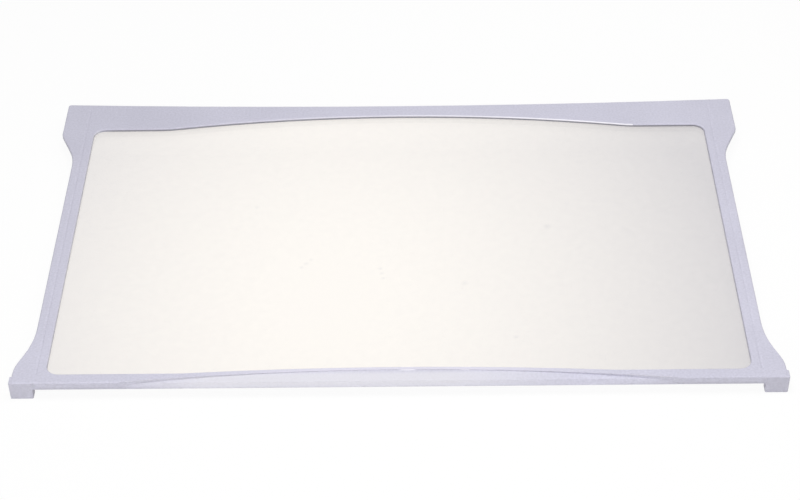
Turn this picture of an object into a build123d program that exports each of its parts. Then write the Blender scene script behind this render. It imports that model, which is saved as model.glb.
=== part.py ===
from build123d import *
import os

os.makedirs("parts", exist_ok=True)

# Clear opening over the glass, seen from above
opening_width = 436.6
opening_depth = 263.7
opening_corner_radius = 8.0
back_arch_chord = 330.0
back_arch_rise = 13.9
front_arch_chord = 268.0
front_arch_rise = 4.3
arch_blend_radius = 80.0

# Bars of the frame around the opening
side_bar = 11.3
front_bar = 8.3
back_bar = 32.2
back_sag = 5.4

# Rear ears and front flares, thin tabs level with the top
ear_reach = 11.5
ear_length = 38.4
ear_run = 27.0
ear_tip_radius = 8.0
ear_root_radius = 50.0
ear_corner_radius = 2.0
flare_reach = 9.5
flare_shoulder = 14.5
flare_run = 25.0
flare_tip_radius = 30.0
flare_root_radius = 70.0
front_corner_radius = 2.0
tab_thickness = 2.6

# Feet under the front corners
foot_width = 14.8
foot_depth = 6.8
foot_drop = 6.5
foot_side_proud = 1.2
foot_front_proud = 0.3
foot_top_step = 0.3
foot_draft = 1.5
foot_corner_radius = 0.7
foot_edge_radius = 0.4

# Glass pane and the groove that grips it
pane_thickness = 3.2
pane_corner_radius = 6.0
pane_arris = 0.4
pane_fit = 0.1
side_wall = 5.2
front_wall = 6.3
back_wall = 4.6
lip_thickness = 2.0
under_lip_thickness = 1.0
under_lip_reach = 4.0

# Support notches in the lip below the glass
notch_radius = 2.5
notch_pitch_x = 100.0
notch_pitch_y = 90.0
notches_across = 4
notches_deep = 3

# Ramp down the front bar, below an arc in which the flat top draws back
nosing_chord = 350.0
nosing_rise = 9.8
nosing_step = 0.4
nosing_nose = 0.4
nosing_bevel_run = 1.5
nosing_bevel_height = 2.9

# Sink line moulded above each side edge of the glass
sink_width = 2.0
sink_depth = 0.25
sink_setback = 6.0
sink_radius = (sink_width**2 / 4 + sink_depth**2) / (2 * sink_depth)

# Edge roundings
outer_edge_radius = 1.0
opening_edge_radius = 1.0
bottom_chamfer = 0.8
cut_margin = 5.0

# Levels, measured up from the soles of the feet
rim_height = lip_thickness + pane_fit + pane_thickness + under_lip_thickness
rim_z = foot_drop
seat_z = rim_z + under_lip_thickness
top_z = rim_z + rim_height
foot_top_z = top_z - foot_top_step
nose_z = rim_z + bottom_chamfer + nosing_nose
ramp_foot_z = nose_z + nosing_bevel_height
ramp_top_z = top_z - nosing_step

# Places across and along the shelf
bar_depth = front_bar + opening_depth + back_bar
overall_depth = foot_front_proud + bar_depth
back_y = overall_depth / 2
front_y = back_y - bar_depth
opening_half = opening_width / 2
front_arch_half = front_arch_chord / 2
back_arch_half = back_arch_chord / 2
opening_front_y = front_y + front_bar
opening_back_y = back_y - back_bar
rim_half = opening_half + side_bar
ear_half = rim_half + ear_reach
flare_half = rim_half + flare_reach
foot_x = flare_half + foot_side_proud - foot_width / 2
foot_y = front_y - foot_front_proud + foot_depth / 2

# The pane fills the groove between the walls
pane_width = 2 * (rim_half - side_wall - pane_fit)
pane_front_y = front_y + front_wall + pane_fit
pane_back_y = back_y - back_sag - back_wall - pane_fit
pane_depth = pane_back_y - pane_front_y
pane_y = (pane_front_y + pane_back_y) / 2

# Foot at the right front corner, drafted on all sides but the front
with BuildPart() as foot:
    with BuildSketch():
        with Locations((foot_x, foot_y)):
            Rectangle(foot_width, foot_depth)
    extrude(amount=foot_top_z)
    drafted = foot.faces().filter_by(Axis.X) + foot.faces().filter_by(Axis.Y).sort_by(Axis.Y)[-1:]
    draft(drafted, -Plane.XY.offset(foot_top_z), foot_draft)
    fillet(foot.edges().filter_by(Axis.Z, tolerance=2 * foot_draft), foot_corner_radius)
    fillet(foot.faces().sort_by(Axis.Z)[0].edges(), foot_edge_radius)
    fillet(foot.faces().sort_by(Axis.Z)[-1].edges(), foot_edge_radius)

# Space above the ramp, back to the arc; the ramp's line runs on as far again past the arc
nosing_radius = (nosing_chord**2 / 4 + nosing_rise**2) / (2 * nosing_rise)
with BuildPart() as nosing:
    with BuildSketch(Plane.YZ.offset(-rim_half)):
        with BuildLine():
            ramp = Polyline(
                (front_y - cut_margin, nose_z),
                (front_y, nose_z),
                (front_y + nosing_bevel_run, ramp_foot_z),
                (front_y + 2 * nosing_rise - nosing_bevel_run, 2 * ramp_top_z - ramp_foot_z),
            )
            Polyline(
                ramp @ 1,
                (front_y + 2 * nosing_rise - nosing_bevel_run, top_z + cut_margin),
                (front_y - cut_margin, top_z + cut_margin),
                ramp @ 0,
            )
        make_face()
    extrude(amount=2 * rim_half)
    with BuildSketch(Plane.XY.offset(rim_z)):
        with Locations((0, front_y + nosing_rise - nosing_radius)):
            Circle(nosing_radius)
    extrude(amount=rim_height + cut_margin, mode=Mode.INTERSECT)

# Round-ended sink line above the right edge of the glass
sink_length = bar_depth - 2 * sink_setback
sink_axis = Axis((pane_width / 2, (front_y + back_y) / 2, top_z + sink_radius - sink_depth), (0, 1, 0))
with BuildPart() as sink:
    with BuildSketch(Plane.XY.offset(sink_axis.position.Z)):
        with Locations((sink_axis.position.X, sink_axis.position.Y)):
            SlotOverall(sink_length, 2 * sink_radius, rotation=90)
        split(bisect_by=Plane.YZ.offset(sink_axis.position.X))
    revolve(axis=sink_axis)

# Frame, moulded in one piece round the edge of the pane
with BuildPart() as frame:
    # Plan outline with its ears and flares
    with BuildSketch(Plane.XY.offset(rim_z)) as outline:
        with BuildLine():
            FilletPolyline(
                (0, front_y),
                (flare_half, front_y),
                (flare_half, front_y + flare_shoulder),
                (rim_half, front_y + flare_shoulder + flare_run),
                (rim_half, back_y - ear_length - ear_run),
                (ear_half, back_y - ear_length),
                (ear_half, back_y),
                radius=(
                    front_corner_radius,
                    flare_tip_radius,
                    flare_root_radius,
                    ear_root_radius,
                    ear_tip_radius,
                ),
            )
            mirror(about=Plane.YZ)
            ThreePointArc((ear_half, back_y), (0, back_y - back_sag), (-ear_half, back_y))
        make_face()
        fillet(outline.vertices().group_by(Axis.Y)[-1], ear_corner_radius)
    extrude(amount=rim_height)

    # The tabs are thin: the space below them is open
    tab_space = max(ear_reach, flare_reach) + cut_margin
    with BuildSketch(Plane.XY.offset(rim_z)):
        with Locations((rim_half + tab_space / 2, 0), (-rim_half - tab_space / 2, 0)):
            Rectangle(tab_space, overall_depth + cut_margin)
    extrude(amount=rim_height - tab_thickness, mode=Mode.SUBTRACT)

    fillet(frame.faces().sort_by(Axis.Z)[-1].outer_wire().edges(), outer_edge_radius)
    chamfer(frame.faces().sort_by(Axis.Z)[0].outer_wire().edges(), bottom_chamfer)

    # Opening above the glass
    with BuildSketch(Plane.XY.offset(top_z)) as opening:
        with BuildLine():
            ThreePointArc(
                (-front_arch_half, opening_front_y),
                (0, opening_front_y + front_arch_rise),
                (front_arch_half, opening_front_y),
            )
            Polyline(
                (front_arch_half, opening_front_y),
                (opening_half, opening_front_y),
                (opening_half, opening_back_y),
                (back_arch_half, opening_back_y),
            )
            ThreePointArc(
                (back_arch_half, opening_back_y),
                (0, opening_back_y + back_arch_rise),
                (-back_arch_half, opening_back_y),
            )
            Polyline(
                (-back_arch_half, opening_back_y),
                (-opening_half, opening_back_y),
                (-opening_half, opening_front_y),
                (-front_arch_half, opening_front_y),
            )
        make_face()
        arch_ends = opening.vertices().group_by(Axis.X)[1:-1]
        fillet([end for ends in arch_ends for end in ends], arch_blend_radius)
        columns = opening.vertices().group_by(Axis.X)
        fillet(columns[0] + columns[-1], opening_corner_radius)
    extrude(amount=-lip_thickness, mode=Mode.SUBTRACT)
    fillet(frame.faces().sort_by(Axis.Z)[-1].inner_wires()[0].edges(), opening_edge_radius)

    add(nosing.part, mode=Mode.SUBTRACT)

    # Groove for the pane
    with BuildSketch(Plane.XY.offset(seat_z)):
        with Locations((0, pane_y)):
            RectangleRounded(
                pane_width + 2 * pane_fit,
                pane_depth + 2 * pane_fit,
                pane_corner_radius + pane_fit,
            )
    extrude(amount=pane_thickness + pane_fit, mode=Mode.SUBTRACT)

    # Opening below the glass, with the notches left by its supports
    under_width = pane_width - 2 * under_lip_reach
    under_depth = pane_depth - 2 * under_lip_reach
    with BuildSketch(Plane.XY.offset(rim_z)):
        with Locations((0, pane_y)):
            RectangleRounded(under_width, under_depth, pane_corner_radius)
            with GridLocations(notch_pitch_x, under_depth, notches_across, 2):
                Circle(notch_radius)
            with GridLocations(under_width, notch_pitch_y, 2, notches_deep):
                Circle(notch_radius)
    extrude(amount=under_lip_thickness, mode=Mode.SUBTRACT)

    # Sink lines and feet, alike on both sides
    for right_piece, mode in ((sink.part, Mode.SUBTRACT), (foot.part, Mode.ADD)):
        add(right_piece, mode=mode)
        add(right_piece.mirror(Plane.YZ), mode=mode)

frame.part.label = "frame"
export_step(frame.part, "parts/frame.step")

# Toughened pane with arrissed edges
with BuildPart() as glass_pane:
    with BuildSketch(Plane.XY.offset(seat_z)):
        with Locations((0, pane_y)):
            RectangleRounded(pane_width, pane_depth, pane_corner_radius)
    extrude(amount=pane_thickness)
    chamfer(glass_pane.edges().group_by(Axis.Z)[0], pane_arris)
    chamfer(glass_pane.edges().group_by(Axis.Z)[-1], pane_arris)

glass_pane.part.label = "glass_pane"
export_step(glass_pane.part, "parts/glass_pane.step")
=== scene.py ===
import bpy
import math
from mathutils import Matrix, Vector

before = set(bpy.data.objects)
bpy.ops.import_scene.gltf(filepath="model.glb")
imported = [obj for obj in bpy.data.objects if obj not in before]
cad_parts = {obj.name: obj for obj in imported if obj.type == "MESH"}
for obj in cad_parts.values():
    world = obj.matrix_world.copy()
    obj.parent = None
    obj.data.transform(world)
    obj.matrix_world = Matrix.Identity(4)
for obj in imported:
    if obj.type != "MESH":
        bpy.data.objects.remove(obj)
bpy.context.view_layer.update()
print("shelf loaded:", sorted(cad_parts))

scene = bpy.context.scene
scene.view_settings.view_transform = "Standard"


# node helpers

def addNode(tree, kind, values=None, **options):
    node = tree.nodes.new(kind)
    for option, value in options.items():
        setattr(node, option, value)
    for socket, value in (values or {}).items():
        node.inputs[socket].default_value = value
    return node


def wire(tree, source, target):
    tree.links.new(source, target)
    return target


def mathNode(tree, operation, first, second, clamp=False):
    node = addNode(tree, "ShaderNodeMath", operation=operation, use_clamp=clamp)
    for socket, value in zip(node.inputs, (first, second)):
        if isinstance(value, (int, float)):
            socket.default_value = value
        else:
            wire(tree, value, socket)
    return node.outputs[0]


def risingMask(tree, value, start, full, least=0.0):
    mask = addNode(tree, "ShaderNodeMapRange", {"From Min": start, "From Max": full, "To Min": least})
    wire(tree, value, mask.inputs["Value"])
    return mask.outputs["Result"]


def above(tree, value, limit):
    return mathNode(tree, "GREATER_THAN", value, limit)


def below(tree, value, limit):
    return mathNode(tree, "LESS_THAN", value, limit)


def part(tree, mask, share):
    return mathNode(tree, "MULTIPLY", mask, share)


def strongest(tree, *masks):
    most = masks[0]
    for mask in masks[1:]:
        most = mathNode(tree, "MAXIMUM", most, mask)
    return most


def allOf(tree, *masks):
    total = masks[0]
    for mask in masks[1:]:
        total = mathNode(tree, "MULTIPLY", total, mask)
    return total


def mixColour(tree, factor, first, second):
    node = addNode(tree, "ShaderNodeMix", data_type="RGBA")
    factorSocket, firstSocket, secondSocket = node.inputs[0], node.inputs[6], node.inputs[7]
    wire(tree, factor, factorSocket)
    for socket, colour in ((firstSocket, first), (secondSocket, second)):
        if isinstance(colour, tuple):
            socket.default_value = (*colour, 1)
        else:
            wire(tree, colour, socket)
    return node.outputs[2]


def newGroup(name, inputs, outputs):
    group = bpy.data.node_groups.new(name, "ShaderNodeTree")
    for socket, value in inputs.items():
        made = group.interface.new_socket(socket, in_out="INPUT", socket_type="NodeSocketFloat")
        made.default_value = value
    for socket in outputs:
        group.interface.new_socket(socket, in_out="OUTPUT", socket_type="NodeSocketFloat")
    entry = group.nodes.new("NodeGroupInput")
    leave = group.nodes.new("NodeGroupOutput")
    return group, entry.outputs, leave.inputs


def placeGroup(tree, group, values):
    node = addNode(tree, "ShaderNodeGroup", node_tree=group)
    for socket, value in values.items():
        node.inputs[socket].default_value = value
    return node.outputs


def newMaterial(name):
    material = bpy.data.materials.new(name)
    material.use_nodes = True
    tree = material.node_tree
    tree.nodes.clear()
    output = addNode(tree, "ShaderNodeOutputMaterial")
    return material, tree, output


# effects that several finishes share

def makeSoftPatches():
    # slow uneven tone, 0 to 1
    group, given, out = newGroup("softPatches", {"Scale": 12.0, "Detail": 3.0}, ["Mask"])
    place = addNode(group, "ShaderNodeTexCoord")
    noise = addNode(group, "ShaderNodeTexNoise", {"Roughness": 0.55})
    wire(group, place.outputs["Object"], noise.inputs["Vector"])
    wire(group, given["Scale"], noise.inputs["Scale"])
    wire(group, given["Detail"], noise.inputs["Detail"])
    # noise keeps near its middle, so that is spread out
    wire(group, risingMask(group, noise.outputs["Fac"], 0.3, 0.7), out["Mask"])
    return group


def makeDustSpecks():
    # lone specks, one at most in each cell
    group, given, out = newGroup("dustSpecks", {"Scale": 60.0, "Size": 0.06, "Share": 0.2}, ["Mask"])
    place = addNode(group, "ShaderNodeTexCoord")
    cells = addNode(group, "ShaderNodeTexVoronoi")
    wire(group, place.outputs["Object"], cells.inputs["Vector"])
    wire(group, given["Scale"], cells.inputs["Scale"])
    near = addNode(group, "ShaderNodeMapRange", {"From Min": 0.0, "To Min": 1.0, "To Max": 0.0})
    wire(group, cells.outputs["Distance"], near.inputs["Value"])
    wire(group, given["Size"], near.inputs["From Max"])
    draw = addNode(group, "ShaderNodeSeparateColor")
    wire(group, cells.outputs["Color"], draw.inputs["Color"])
    chosen = below(group, draw.outputs["Red"], given["Share"])
    wire(group, allOf(group, near.outputs["Result"], chosen), out["Mask"])
    return group


def makeHairScratches():
    # thin short streaks along one direction
    group, given, out = newGroup(
        "hairScratches",
        {"Angle": 0.0, "Length": 0.04, "Width": 0.0004, "Share": 0.1},
        ["Mask"],
    )
    place = addNode(group, "ShaderNodeTexCoord")
    turn = addNode(group, "ShaderNodeVectorRotate", rotation_type="Z_AXIS")
    wire(group, place.outputs["Object"], turn.inputs["Vector"])
    wire(group, given["Angle"], turn.inputs["Angle"])
    along = mathNode(group, "DIVIDE", 1.0, given["Length"])
    across = mathNode(group, "DIVIDE", 0.1, given["Width"])
    stretch = addNode(group, "ShaderNodeCombineXYZ")
    wire(group, along, stretch.inputs["X"])
    wire(group, across, stretch.inputs["Y"])
    wire(group, along, stretch.inputs["Z"])
    scaled = addNode(group, "ShaderNodeVectorMath", operation="MULTIPLY")
    wire(group, turn.outputs["Vector"], scaled.inputs[0])
    wire(group, stretch.outputs["Vector"], scaled.inputs[1])
    cells = addNode(group, "ShaderNodeTexVoronoi", {"Scale": 1.0})
    wire(group, scaled.outputs["Vector"], cells.inputs["Vector"])
    near = risingMask(group, cells.outputs["Distance"], 0.3, 0.0)  # fades out from the middle of a cell
    draw = addNode(group, "ShaderNodeSeparateColor")
    wire(group, cells.outputs["Color"], draw.inputs["Color"])
    chosen = below(group, draw.outputs["Green"], given["Share"])
    wire(group, allOf(group, near, chosen), out["Mask"])
    return group


softPatches = makeSoftPatches()
dustSpecks = makeDustSpecks()
hairScratches = makeHairScratches()
print("shared effects made")


# frame, pale lavender moulded plastic

framePlastic = {
    "colour": (0.605, 0.597, 0.702),
    "patchColour": (0.493, 0.486, 0.574),
    # the next four colours are painted highlight, painted sheen, painted highlight on the land and
    # painted shade
    "highlightColour": (0.88, 0.87, 0.92),
    "sheenColour": (0.680, 0.671, 0.700),
    "landHighlightColour": (0.70, 0.68, 0.775),
    "shadeColour": (0.36, 0.35, 0.40),
    "dustColour": (0.42, 0.41, 0.44),
    "ior": 1.5,
    "roughness": 0.48,
    "patchRoughness": 0.56,
    # finish all over
    "patches": {"Scale": 14.0, "Detail": 4.0},
    "patchShare": 0.35,
    "mottle": {"Scale": 700.0, "Detail": 2.0},
    "mottleShare": 0.65,
    "specks": {"Scale": 120.0, "Size": 0.035, "Share": 0.12},
    "scratches": {"Angle": 0.3, "Length": 0.03, "Width": 0.0003, "Share": 0.05},
    "grain": {"Scale": 2600.0, "Detail": 2.0},
    "bump": {"Strength": 0.25, "Distance": 0.00002},
    # lip around the opening: painted shade in its seam and painted highlights on its rounding
    "openingSide": 0.2195,
    "openingFront": -0.135,
    "openingBack": 0.137,
    "seamShadeLevels": (0.0122, 0.0118),
    "seamShadeBack": (0.110, 0.119),
    "seamShadeAtSides": 0.08,
    "seamShadeRun": (-0.2135, -0.204),
    "archHighlightLevels": (0.01279, 0.0126),
    "archHighlightFront": 0.0,
    "archHighlightRun": (-0.15, 0.13),
    "leftHighlight": (-0.2125, -0.2165),
    "leftHighlightLevels": (0.0127, 0.0121),
    "leftHighlightShare": 0.6,
    # lower front edge and feet: painted shade
    "edgeLevels": (0.0093, 0.0082),
    "edgeFront": -0.1495,
    "edgeRun": (0.12, 0.17),
    "edgeEnd": 0.2240,
    "edgeShadeShare": 0.32,
    "footTop": 0.0124,
    "footShadeShare": 0.18,
    # ramp of the front bar, the crease above it and the land behind the crease: painted sheen, painted
    # highlights, painted glints and painted shade
    "archHalf": 0.168,
    "rampBack": -0.1395,
    "sheenShare": 0.64,
    "sheenFoot": (0.0045, 0.0095),
    "sheenTop": (0.0124, 0.0117),
    "sheenRuns": ((-0.17, -0.12), (0.11, 0.03)),
    "creaseStart": 0.01241,
    "creaseHighlightShare": 0.4,
    "creaseShade": (0.0119, 0.0124),
    "creaseShadeShare": 0.17,
    "glintStart": 0.0123,
    "glints": ((0.0055, 0.0060, 0.0030), (0.0415, 0.0045, 0.00225)),
    "landStart": 0.01279,
    "landRun": (0.13, 0.05),
    "landHighlightShare": 0.6,
}


def findSpot(tree):
    # from left to right, from the middle outwards, from front to back, and upwards
    place = addNode(tree, "ShaderNodeTexCoord")
    apart = addNode(tree, "ShaderNodeSeparateXYZ")
    wire(tree, place.outputs["Object"], apart.inputs["Vector"])
    side, depth, level = (apart.outputs[axis] for axis in "XYZ")
    return side, mathNode(tree, "ABSOLUTE", side, 0.0), depth, level


def lipHighlightAndShade(tree, given, spot):
    side, across, depth, level = spot
    inside = allOf(
        tree,
        below(tree, across, given["openingSide"]),
        above(tree, depth, given["openingFront"]),
        below(tree, depth, given["openingBack"]),
    )
    # painted shade in the seam below the lip, most of it at the back
    shade = allOf(
        tree,
        inside,
        risingMask(tree, level, *given["seamShadeLevels"]),
        risingMask(tree, depth, *given["seamShadeBack"], given["seamShadeAtSides"]),
        risingMask(tree, side, *given["seamShadeRun"]),
    )
    # painted highlight on the rounding along the arch of the back lip, and on the wall on the left
    arch = allOf(
        tree,
        inside,
        risingMask(tree, level, *given["archHighlightLevels"]),
        risingMask(tree, side, *given["archHighlightRun"]),
        below(tree, across, given["archHalf"]),
        above(tree, depth, given["archHighlightFront"]),
    )
    left = allOf(
        tree,
        inside,
        risingMask(tree, side, *given["leftHighlight"]),
        risingMask(tree, level, *given["leftHighlightLevels"]),
    )
    return strongest(tree, arch, part(tree, left, given["leftHighlightShare"])), shade


def frontShade(tree, given, spot):
    side, across, depth, level = spot
    front = below(tree, depth, given["edgeFront"])
    # painted shade along the lower edge, towards the feet, and lightly over the fronts of the feet
    edge = allOf(
        tree,
        front,
        risingMask(tree, level, *given["edgeLevels"]),
        risingMask(tree, across, *given["edgeRun"]),
        below(tree, across, given["edgeEnd"]),
    )
    feet = allOf(
        tree,
        front,
        above(tree, across, given["edgeEnd"]),
        below(tree, level, given["footTop"]),
    )
    return strongest(tree, part(tree, edge, given["edgeShadeShare"]), part(tree, feet, given["footShadeShare"]))


def rampHighlightAndShade(tree, given, spot):
    side, across, depth, level = spot
    front = allOf(tree, below(tree, depth, given["rampBack"]), below(tree, across, given["archHalf"]))
    # crease above the ramp, with a painted highlight and painted glints on it and painted shade at its
    # foot
    start, full = given["creaseShade"]
    foot = allOf(tree, front, risingMask(tree, level, start, full), below(tree, level, full))
    shade = part(tree, foot, given["creaseShadeShare"])
    step = allOf(tree, front, below(tree, level, given["landStart"]))
    crease = allOf(tree, step, above(tree, level, given["creaseStart"]))
    highlight = part(tree, crease, given["creaseHighlightShare"])
    for centre, half, core in given["glints"]:
        away = mathNode(tree, "ABSOLUTE", mathNode(tree, "SUBTRACT", side, centre), 0.0)
        near = risingMask(tree, away, half, core)
        glint = allOf(tree, step, near, above(tree, level, given["glintStart"]))
        highlight = strongest(tree, highlight, glint)
    # painted sheen on the ramp
    sheen = allOf(
        tree,
        front,
        risingMask(tree, level, *given["sheenFoot"]),
        risingMask(tree, level, *given["sheenTop"]),
        *(risingMask(tree, side, *run) for run in given["sheenRuns"]),
    )
    # painted highlight on the narrow flat land behind the crease
    flat = above(tree, level, given["landStart"])
    landHighlight = allOf(tree, front, flat, risingMask(tree, across, *given["landRun"]))
    return highlight, shade, part(tree, sheen, given["sheenShare"]), part(tree, landHighlight, given["landHighlightShare"])


def plasticTone(tree, given, patches):
    mottle = placeGroup(tree, softPatches, given["mottle"])
    specks = placeGroup(tree, dustSpecks, given["specks"])
    slow = part(tree, patches["Mask"], given["patchShare"])
    fine = part(tree, mottle["Mask"], given["mottleShare"])
    spot = findSpot(tree)
    lipHighlight, lipShade = lipHighlightAndShade(tree, given, spot)
    rampHighlight, rampShade, sheen, landHighlight = rampHighlightAndShade(tree, given, spot)
    shade = strongest(tree, lipShade, rampShade, frontShade(tree, given, spot))
    tone = mixColour(tree, mathNode(tree, "ADD", slow, fine), given["colour"], given["patchColour"])
    # painted sheen, painted highlights and painted shade go over the plastic, then real dust specks
    for mask, colour in (
        (sheen, "sheenColour"),
        (landHighlight, "landHighlightColour"),
        (strongest(tree, lipHighlight, rampHighlight), "highlightColour"),
        (shade, "shadeColour"),
        (specks["Mask"], "dustColour"),
    ):
        tone = mixColour(tree, mask, tone, given[colour])
    return tone


def makeFramePlastic(given):
    material, tree, output = newMaterial("framePlastic")
    shader = addNode(tree, "ShaderNodeBsdfPrincipled", {"IOR": given["ior"]})
    patches = placeGroup(tree, softPatches, given["patches"])
    wire(tree, plasticTone(tree, given, patches), shader.inputs["Base Color"])
    rough = addNode(
        tree,
        "ShaderNodeMapRange",
        {"To Min": given["roughness"], "To Max": given["patchRoughness"]},
    )
    wire(tree, patches["Mask"], rough.inputs["Value"])
    wire(tree, rough.outputs["Result"], shader.inputs["Roughness"])
    # moulded grain, cut by scratches
    place = addNode(tree, "ShaderNodeTexCoord")
    grain = addNode(tree, "ShaderNodeTexNoise", given["grain"])
    wire(tree, place.outputs["Object"], grain.inputs["Vector"])
    scratches = placeGroup(tree, hairScratches, given["scratches"])
    height = mathNode(tree, "SUBTRACT", grain.outputs["Fac"], scratches["Mask"])
    bump = addNode(tree, "ShaderNodeBump", given["bump"])
    wire(tree, height, bump.inputs["Height"])
    wire(tree, bump.outputs["Normal"], shader.inputs["Normal"])
    wire(tree, shader.outputs["BSDF"], output.inputs["Surface"])
    return material


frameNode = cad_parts["frame"]
frameNode.data.materials.clear()
frameNode.data.materials.append(makeFramePlastic(framePlastic))
print("frame plastic set")


# glass pane, clear and faintly warm, with painted shade darkening it away from a lit middle, and faint
# dust

paneGlass = {
    "colour": (1.0, 0.963, 0.916),
    # colour of the painted shade, which also carries a faint dust
    "dustAndShadeColour": (0.684, 0.665, 0.680),
    # lit middle of the painted shade and how far it reaches
    "litCentre": (-0.045, -0.07, 0.0),
    "litReach": (0.27, 0.42, 1.0),
    "litClear": 0.05,
    "shadePower": 1.8,
    # painted light along the back, lifting the shade there
    "backLift": (0.09, 0.132),
    "backLiftShare": 0.17,
    "blotches": {"Scale": 170.0, "Detail": 3.0},
    "blotchShare": 0.06,
    "scratches": {"Angle": 0.9, "Length": 0.03, "Width": 0.0005, "Share": 0.01},
    "scratchShare": 0.3,
    "specks": {"Scale": 38.0, "Size": 0.03, "Share": 0.05},
    "markShare": 0.34,
    "top": 0.0107,
    "marks": (
        (-0.097, 0.028, 0.0020),
        (0.043, -0.056, 0.0032),
        (0.074, -0.110, 0.0026),
        (0.100, 0.004, 0.0040),
        (-0.064, -0.038, 0.0018),
        (-0.061, -0.034, 0.0022),
        (-0.058, -0.030, 0.0018),
        (-0.012, -0.040, 0.0020),
        (-0.011, -0.045, 0.0022),
        (-0.010, -0.050, 0.0016),
    ),
    "ior": 1.5,
    "roughness": 0.0,
}


def markMask(tree, given, place):
    specks = placeGroup(tree, dustSpecks, given["specks"])
    scratches = placeGroup(tree, hairScratches, given["scratches"])
    marked = strongest(tree, specks["Mask"], part(tree, scratches["Mask"], given["scratchShare"]))
    for across, depth, radius in given["marks"]:
        centre = (across, depth, given["top"])
        away = addNode(tree, "ShaderNodeVectorMath", {1: centre}, operation="DISTANCE")
        wire(tree, place, away.inputs[0])
        marked = strongest(tree, marked, risingMask(tree, away.outputs["Value"], radius, 0.0))
    return marked


def dustAndShadeMask(tree, given, place):
    # painted shade, darker away from the lit middle, with blotchy dust, and painted light along the
    # back
    offset = addNode(tree, "ShaderNodeVectorMath", {1: given["litCentre"]}, operation="SUBTRACT")
    wire(tree, place, offset.inputs[0])
    reach = addNode(tree, "ShaderNodeVectorMath", {1: given["litReach"]}, operation="DIVIDE")
    wire(tree, offset.outputs["Vector"], reach.inputs[0])
    far = addNode(tree, "ShaderNodeVectorMath", operation="LENGTH")
    wire(tree, reach.outputs["Vector"], far.inputs[0])
    dustAndShade = mathNode(tree, "POWER", far.outputs["Value"], given["shadePower"], clamp=True)
    dustAndShade = mathNode(tree, "SUBTRACT", dustAndShade, given["litClear"])
    blotches = placeGroup(tree, softPatches, given["blotches"])
    dustAndShade = mathNode(tree, "ADD", dustAndShade, part(tree, blotches["Mask"], given["blotchShare"]))
    # painted light along the back
    apart = addNode(tree, "ShaderNodeSeparateXYZ")
    wire(tree, place, apart.inputs["Vector"])
    backLifted = risingMask(tree, apart.outputs["Y"], *given["backLift"])
    dustAndShade = mathNode(tree, "SUBTRACT", dustAndShade, part(tree, backLifted, given["backLiftShare"]), clamp=True)
    marked = markMask(tree, given, place)
    return mathNode(tree, "ADD", dustAndShade, part(tree, marked, given["markShare"]), clamp=True)


def makePaneGlass(given):
    material, tree, output = newMaterial("paneGlass")
    shader = addNode(
        tree,
        "ShaderNodeBsdfPrincipled",
        {"IOR": given["ior"], "Transmission Weight": 1.0, "Roughness": given["roughness"]},
    )
    place = addNode(tree, "ShaderNodeTexCoord").outputs["Object"]
    tone = mixColour(tree, dustAndShadeMask(tree, given, place), given["colour"], given["dustAndShadeColour"])
    wire(tree, tone, shader.inputs["Base Color"])
    # light passes straight through to the floor
    clear = addNode(tree, "ShaderNodeBsdfTransparent")
    path = addNode(tree, "ShaderNodeLightPath")
    both = addNode(tree, "ShaderNodeMixShader")
    wire(tree, path.outputs["Is Shadow Ray"], both.inputs["Fac"])
    wire(tree, shader.outputs["BSDF"], both.inputs[1])
    wire(tree, clear.outputs["BSDF"], both.inputs[2])
    wire(tree, both.outputs["Shader"], output.inputs["Surface"])
    return material


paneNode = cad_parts["glass_pane"]
paneNode.data.materials.clear()
paneNode.data.materials.append(makePaneGlass(paneGlass))
print("pane glass set")


# floor, white where the camera looks and still holding the shadow

floorPaper = {
    "reach": 6.0,
    "level": -0.0001,
    "colour": (0.88, 0.875, 0.86),
    "glowShare": 0.94,
}


def seenWhite(tree):
    # 1 for what the camera sees, straight or by way of gloss and glass
    path = addNode(tree, "ShaderNodeLightPath")
    rays = ("Is Camera Ray", "Is Glossy Ray", "Is Transmission Ray")
    seen = strongest(tree, *(path.outputs[ray] for ray in rays))
    unscattered = below(tree, path.outputs["Diffuse Depth"], 0.5)
    return allOf(tree, seen, unscattered)


def makeFloor(given):
    bpy.ops.mesh.primitive_plane_add(size=2 * given["reach"], location=(0, 0, given["level"]))
    floor = bpy.context.object
    floor.name = "floorPaper"
    material, tree, output = newMaterial("floorPaper")
    paper = addNode(tree, "ShaderNodeBsdfDiffuse", {"Color": (*given["colour"], 1)})
    glow = addNode(tree, "ShaderNodeEmission", {"Color": (1, 1, 1, 1), "Strength": 1.0})
    both = addNode(tree, "ShaderNodeMixShader")
    wire(tree, part(tree, seenWhite(tree), given["glowShare"]), both.inputs["Fac"])
    wire(tree, paper.outputs["BSDF"], both.inputs[1])
    wire(tree, glow.outputs["Emission"], both.inputs[2])
    wire(tree, both.outputs["Shader"], output.inputs["Surface"])
    floor.data.materials.append(material)


makeFloor(floorPaper)
print("floor laid")


# soft light all round, with softboxes over the shelf, in front of it and above its right end

studioLight = {
    "fill": 0.25,
    "overPlace": (-0.02, -0.13, 0.85),
    "overSize": 0.45,
    "overPower": 4.85,
    "frontPlace": (-0.30, -1.35, 0.50),
    "frontSize": 0.9,
    "frontPower": 7.8,
    "rightPlace": (0.48, 0.02, 0.75),
    "rightSize": 0.35,
    "rightPower": 1.5,
}


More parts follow.
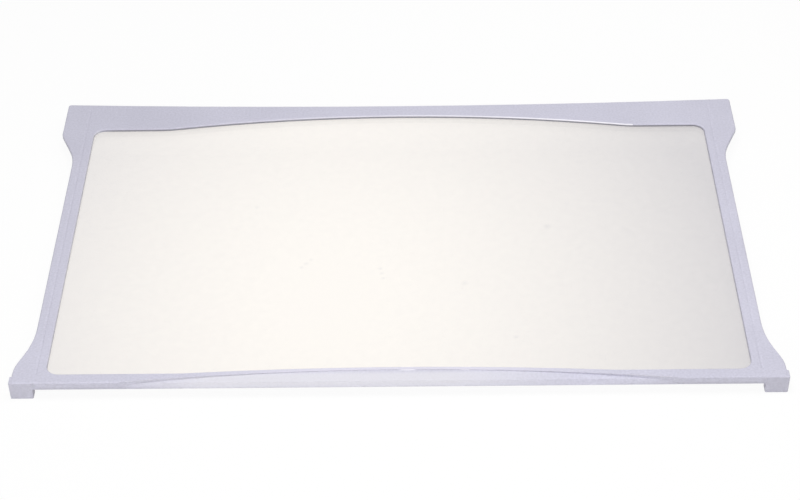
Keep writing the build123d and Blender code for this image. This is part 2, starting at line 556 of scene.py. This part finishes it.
def makeWorld(given):
    world = bpy.data.worlds.new("studioWorld")
    scene.world = world
    world.use_nodes = True
    tree = world.node_tree
    tree.nodes.clear()
    output = addNode(tree, "ShaderNodeOutputWorld")
    ground = addNode(tree, "ShaderNodeBackground", {"Color": (1, 1, 1, 1)})
    strength = addNode(tree, "ShaderNodeMapRange", {"To Min": given["fill"], "To Max": 1.0})
    wire(tree, seenWhite(tree), strength.inputs["Value"])
    wire(tree, strength.outputs["Result"], ground.inputs["Strength"])
    wire(tree, ground.outputs["Background"], output.inputs["Surface"])


def makeSoftbox(name, place, size, power):
    lamp = bpy.data.lights.new(name, "AREA")
    lamp.shape = "DISK"
    lamp.size = size
    lamp.energy = power
    softbox = bpy.data.objects.new(name, lamp)
    softbox.location = place
    softbox.rotation_euler = (-Vector(place)).to_track_quat("-Z", "Y").to_euler()
    # no hard disc of light mirrored in the glass
    softbox.visible_glossy = False
    softbox.visible_transmission = False
    scene.collection.objects.link(softbox)


makeWorld(studioLight)
for side in ("over", "front", "right"):
    makeSoftbox(
        side + "Softbox",
        studioLight[side + "Place"],
        studioLight[side + "Size"],
        studioLight[side + "Power"],
    )
print("lights set")


# camera, in front of the shelf and above it

camera = {
    "place": (0.0102, -1.0924, 0.8546),
    "pitchDown": 38.21,
    "turn": 0.499,
    "roll": -0.833,
    "focalPixels": 2052.0,
    "imageWidth": 800.0,
    "sensorWidth": 36.0,
}


def makeCamera(given):
    lens = bpy.data.cameras.new("shelfCamera")
    lens.sensor_width = given["sensorWidth"]
    lens.lens = given["focalPixels"] / given["imageWidth"] * given["sensorWidth"]
    eye = bpy.data.objects.new("shelfCamera", lens)
    turn = Matrix.Rotation(math.radians(given["turn"]), 4, "Z")
    tilt = Matrix.Rotation(math.radians(90.0 - given["pitchDown"]), 4, "X")
    roll = Matrix.Rotation(math.radians(given["roll"]), 4, "Z")
    eye.matrix_world = Matrix.Translation(given["place"]) @ turn @ tilt @ roll
    scene.collection.objects.link(eye)
    scene.camera = eye


makeCamera(camera)
print("camera set")
